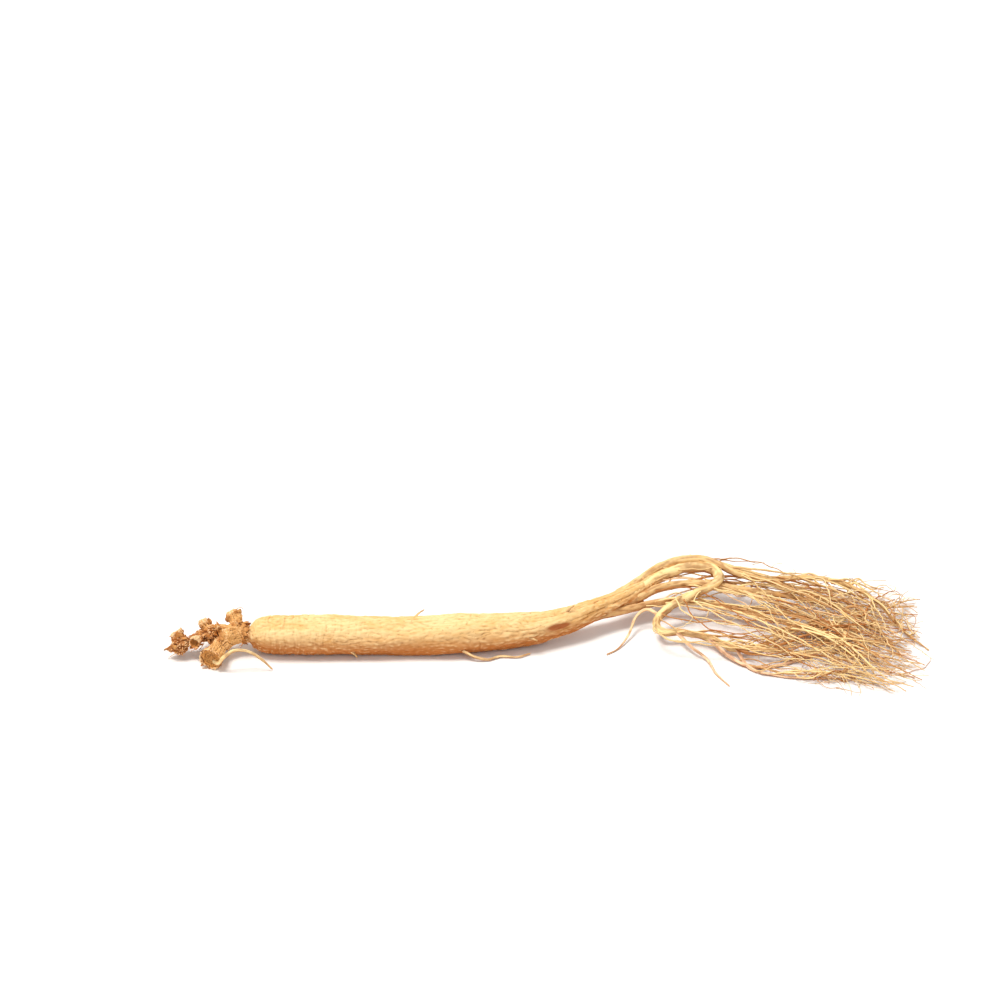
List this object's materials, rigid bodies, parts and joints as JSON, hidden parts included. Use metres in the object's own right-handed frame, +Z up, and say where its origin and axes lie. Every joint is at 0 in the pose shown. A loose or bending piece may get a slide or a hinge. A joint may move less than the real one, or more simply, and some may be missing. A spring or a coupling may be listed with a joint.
{
  "type": "ginseng root",
  "caption": "Dried whole ginseng root lying on its side: a knobbly rhizome, a plump pale taproot, forked side roots and a fan of fine rootlets.",
  "frame": {"origin": "middle of the small flat spot under the thickest part of the taproot, on the surface that the root lies on", "axes": "+X along the root from the rhizome towards the rootlets' tips, +Z up, +Y to the side that the root's tail bends towards"},
  "size_m": [0.2694, 0.0816, 0.0164],
  "materials": {
    "dried_root": "dry matt straw-coloured root skin, browner on the rhizome and the rootlets"
  },
  "bodies": {
    "root": {"ginseng_root": "dried_root"}
  },
  "joints": []
}
